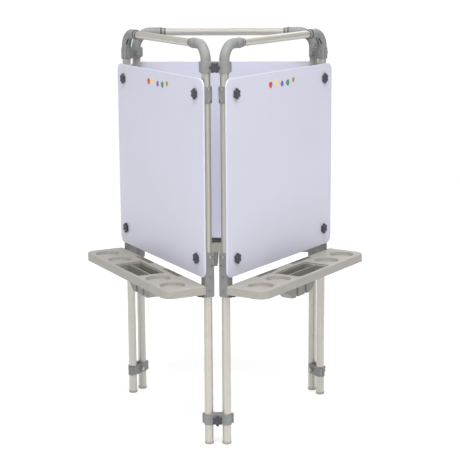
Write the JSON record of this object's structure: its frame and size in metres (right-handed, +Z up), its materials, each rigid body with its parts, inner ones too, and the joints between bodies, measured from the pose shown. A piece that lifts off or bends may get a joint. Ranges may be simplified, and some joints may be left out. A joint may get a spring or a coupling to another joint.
{
  "type": "kids easel",
  "caption": "Free-standing three-sided children's easel: tubular frames clamped at the corners, each with a drawing panel and a moulded paint tray with a lift-out insert.",
  "frame": {"origin": "on the floor, under the middle of the easel's box", "axes": "+Z up, +Y towards the rear frame, the front corner towards -Y"},
  "size_m": [0.9584, 0.8394, 1.3087],
  "materials": {
    "tube": "satin",
    "fitting_plastic": "fine moulded texture",
    "knob_plastic": "fine moulded texture",
    "panel_board": "smooth wipe-clean",
    "tray_plastic": "fine moulded texture",
    "insert_plastic": "fine moulded texture",
    "foot_plastic": "fine moulded texture",
    "fastener_steel": "zinc plated"
  },
  "bodies": {
    "right_frame": {"right_post_a": "tube", "right_post_b": "tube", "right_top_bar": "tube", "right_feet": "foot_plastic", "right_elbows": "fitting_plastic", "right_panel": "panel_board", "right_panel_brackets": "fitting_plastic", "right_tray_brackets": "fitting_plastic", "right_tray": "tray_plastic", "right_fasteners": "fastener_steel", "front_clamp_outer_halves": "fitting_plastic", "front_clamp_inner_halves": "fitting_plastic", "front_clamp_bolts": "fastener_steel", "rear_right_clamp_outer_halves": "fitting_plastic", "rear_right_clamp_inner_halves": "fitting_plastic", "rear_right_clamp_bolts": "fastener_steel"},
    "left_frame": {"left_post_a": "tube", "left_post_b": "tube", "left_top_bar": "tube", "left_feet": "foot_plastic", "left_elbows": "fitting_plastic", "left_panel": "panel_board", "left_panel_brackets": "fitting_plastic", "left_tray_brackets": "fitting_plastic", "left_tray": "tray_plastic", "left_fasteners": "fastener_steel", "rear_left_clamp_outer_halves": "fitting_plastic", "rear_left_clamp_inner_halves": "fitting_plastic", "rear_left_clamp_bolts": "fastener_steel"},
    "rear_frame": {"rear_post_a": "tube", "rear_post_b": "tube", "rear_top_bar": "tube", "rear_feet": "foot_plastic", "rear_elbows": "fitting_plastic", "rear_panel": "panel_board", "rear_panel_brackets": "fitting_plastic", "rear_tray_brackets": "fitting_plastic", "rear_tray": "tray_plastic", "rear_fasteners": "fastener_steel"},
    "right_tray_insert": {"right_tray_insert": "insert_plastic"},
    "right_knob_lower_a": {"right_knob_lower_a": "knob_plastic"},
    "right_knob_lower_b": {"right_knob_lower_b": "knob_plastic"},
    "right_knob_upper_a": {"right_knob_upper_a": "knob_plastic"},
    "right_knob_upper_b": {"right_knob_upper_b": "knob_plastic"},
    "rear_tray_insert": {"rear_tray_insert": "insert_plastic"},
    "rear_knob_lower_a": {"rear_knob_lower_a": "knob_plastic"},
    "rear_knob_lower_b": {"rear_knob_lower_b": "knob_plastic"},
    "rear_knob_upper_a": {"rear_knob_upper_a": "knob_plastic"},
    "rear_knob_upper_b": {"rear_knob_upper_b": "knob_plastic"},
    "left_tray_insert": {"left_tray_insert": "insert_plastic"},
    "left_knob_lower_a": {"left_knob_lower_a": "knob_plastic"},
    "left_knob_lower_b": {"left_knob_lower_b": "knob_plastic"},
    "left_knob_upper_a": {"left_knob_upper_a": "knob_plastic"},
    "left_knob_upper_b": {"left_knob_upper_b": "knob_plastic"},
    "front_clamp_knob_lower": {"front_clamp_knob_lower": "knob_plastic"},
    "front_clamp_knob_upper": {"front_clamp_knob_upper": "knob_plastic"},
    "rear_right_clamp_knob_lower": {"rear_right_clamp_knob_lower": "knob_plastic"},
    "rear_right_clamp_knob_upper": {"rear_right_clamp_knob_upper": "knob_plastic"},
    "rear_left_clamp_knob_lower": {"rear_left_clamp_knob_lower": "knob_plastic"},
    "rear_left_clamp_knob_upper": {"rear_left_clamp_knob_upper": "knob_plastic"}
  },
  "joints": [
    {"name": "left_frame_swing", "type": "hinge", "parent": "right_frame", "child": "left_frame", "pos_m": [-0.0287, -0.32724, 0], "axis": [0, 0, 1], "range_deg": [0, 90]},
    {"name": "rear_frame_swing", "type": "hinge", "parent": "left_frame", "child": "rear_frame", "pos_m": [-0.309, 0.25768, 0], "axis": [0, 0, 1], "range_deg": [0, 90]},
    {"name": "right_tray_insert_lift", "type": "slide", "parent": "right_frame", "child": "right_tray_insert", "axis": [0, 0, 1], "range_m": [0, 0.1]},
    {"name": "right_knob_lower_a_turn", "type": "hinge", "parent": "right_frame", "child": "right_knob_lower_a", "pos_m": [0.34474, 0.17157, 0.615], "axis": [0.866, -0.5, 0], "continuous": true},
    {"name": "right_knob_lower_b_turn", "type": "hinge", "parent": "right_frame", "child": "right_knob_lower_b", "pos_m": [0.06374, -0.31514, 0.615], "axis": [0.866, -0.5, 0], "continuous": true},
    {"name": "right_knob_upper_a_turn", "type": "hinge", "parent": "right_frame", "child": "right_knob_upper_a", "pos_m": [0.34474, 0.17157, 1.139], "axis": [0.866, -0.5, 0], "continuous": true},
    {"name": "right_knob_upper_b_turn", "type": "hinge", "parent": "right_frame", "child": "right_knob_upper_b", "pos_m": [0.06374, -0.31514, 1.139], "axis": [0.866, -0.5, 0], "continuous": true},
    {"name": "rear_tray_insert_lift", "type": "slide", "parent": "rear_frame", "child": "rear_tray_insert", "axis": [0, 0, 1], "range_m": [0, 0.1]},
    {"name": "rear_knob_lower_a_turn", "type": "hinge", "parent": "rear_frame", "child": "rear_knob_lower_a", "pos_m": [-0.281, 0.28198, 0.615], "axis": [0, 1, 0], "continuous": true},
    {"name": "rear_knob_lower_b_turn", "type": "hinge", "parent": "rear_frame", "child": "rear_knob_lower_b", "pos_m": [0.281, 0.28198, 0.615], "axis": [0, 1, 0], "continuous": true},
    {"name": "rear_knob_upper_a_turn", "type": "hinge", "parent": "rear_frame", "child": "rear_knob_upper_a", "pos_m": [-0.281, 0.28198, 1.139], "axis": [0, 1, 0], "continuous": true},
    {"name": "rear_knob_upper_b_turn", "type": "hinge", "parent": "rear_frame", "child": "rear_knob_upper_b", "pos_m": [0.281, 0.28198, 1.139], "axis": [0, 1, 0], "continuous": true},
    {"name": "left_tray_insert_lift", "type": "slide", "parent": "left_frame", "child": "left_tray_insert", "axis": [0, 0, 1], "range_m": [0, 0.1]},
    {"name": "left_knob_lower_a_turn", "type": "hinge", "parent": "left_frame", "child": "left_knob_lower_a", "pos_m": [-0.06374, -0.31514, 0.615], "axis": [-0.866, -0.5, 0], "continuous": true},
    {"name": "left_knob_lower_b_turn", "type": "hinge", "parent": "left_frame", "child": "left_knob_lower_b", "pos_m": [-0.34474, 0.17157, 0.615], "axis": [-0.866, -0.5, 0], "continuous": true},
    {"name": "left_knob_upper_a_turn", "type": "hinge", "parent": "left_frame", "child": "left_knob_upper_a", "pos_m": [-0.06374, -0.31514, 1.139], "axis": [-0.866, -0.5, 0], "continuous": true},
    {"name": "left_knob_upper_b_turn", "type": "hinge", "parent": "left_frame", "child": "left_knob_upper_b", "pos_m": [-0.34474, 0.17157, 1.139], "axis": [-0.866, -0.5, 0], "continuous": true},
    {"name": "front_clamp_knob_lower_turn", "type": "hinge", "parent": "right_frame", "child": "front_clamp_knob_lower", "pos_m": [0, -0.35004, 0.0845], "axis": [0, -1, 0], "continuous": true},
    {"name": "front_clamp_knob_upper_turn", "type": "hinge", "parent": "right_frame", "child": "front_clamp_knob_upper", "pos_m": [0, -0.35004, 1.2225], "axis": [0, -1, 0], "continuous": true},
    {"name": "rear_right_clamp_knob_lower_turn", "type": "hinge", "parent": "right_frame", "child": "rear_right_clamp_knob_lower", "pos_m": [0.34309, 0.24422, 0.0845], "axis": [0.866, 0.5, 0], "continuous": true},
    {"name": "rear_right_clamp_knob_upper_turn", "type": "hinge", "parent": "right_frame", "child": "rear_right_clamp_knob_upper", "pos_m": [0.34309, 0.24422, 1.2225], "axis": [0.866, 0.5, 0], "continuous": true},
    {"name": "rear_left_clamp_knob_lower_turn", "type": "hinge", "parent": "left_frame", "child": "rear_left_clamp_knob_lower", "pos_m": [-0.34309, 0.24422, 0.0845], "axis": [-0.866, 0.5, 0], "continuous": true},
    {"name": "rear_left_clamp_knob_upper_turn", "type": "hinge", "parent": "left_frame", "child": "rear_left_clamp_knob_upper", "pos_m": [-0.34309, 0.24422, 1.2225], "axis": [-0.866, 0.5, 0], "continuous": true}
  ]
}
